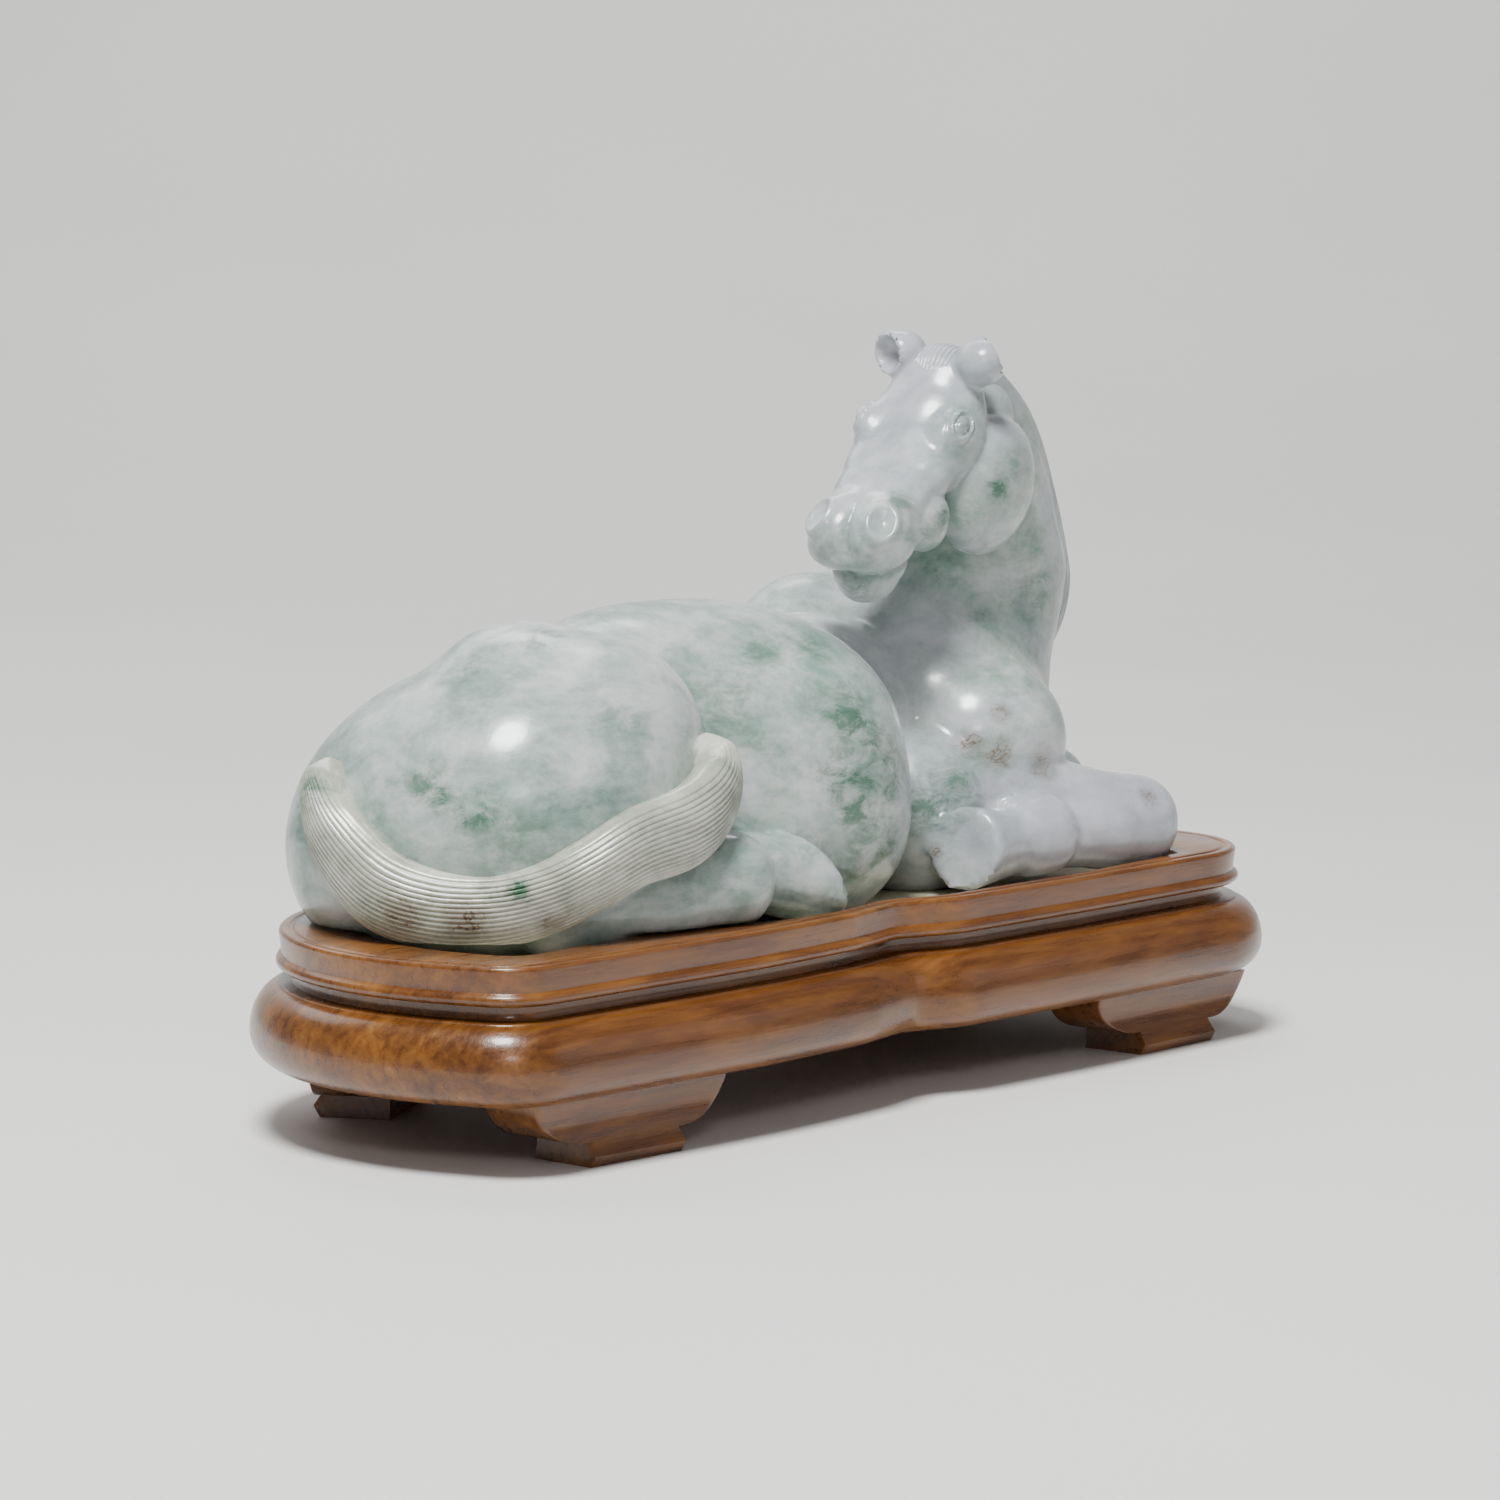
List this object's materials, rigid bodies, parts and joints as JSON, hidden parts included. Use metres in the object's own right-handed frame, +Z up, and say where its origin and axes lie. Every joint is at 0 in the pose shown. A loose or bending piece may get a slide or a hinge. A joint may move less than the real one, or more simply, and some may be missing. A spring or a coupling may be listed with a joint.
{
  "type": "jade horse figurine on wooden stand",
  "caption": "Carved pale jade horse lying down with its head turned back, lifting off a fitted lobed hardwood stand on bracket feet.",
  "frame": {"origin": "under the middle of the stand, on the surface it stands on", "axes": "+X along the stand towards the horse's chest, -Y out of the stand's front, +Z up"},
  "size_m": [0.3098, 0.13, 0.179],
  "materials": {
    "jade": "polished, waxed",
    "rim_wood": "varnished",
    "apron_wood": "varnished",
    "foot_wood": "varnished",
    "dowel_wood": "bare",
    "packing": "matte"
  },
  "bodies": {
    "stand": {"seat_board": "rim_wood", "seat_liner": "packing", "apron_ring": "apron_wood", "foot_front_left": "foot_wood", "foot_front_right": "foot_wood", "foot_back_left": "foot_wood", "foot_back_right": "foot_wood", "foot_dowels": "dowel_wood"},
    "horse": {"jade_horse": "jade"}
  },
  "joints": [
    {"name": "horse_lift", "type": "slide", "parent": "stand", "child": "horse", "axis": [0, 0, 1], "range_m": [0, 0.06]}
  ]
}
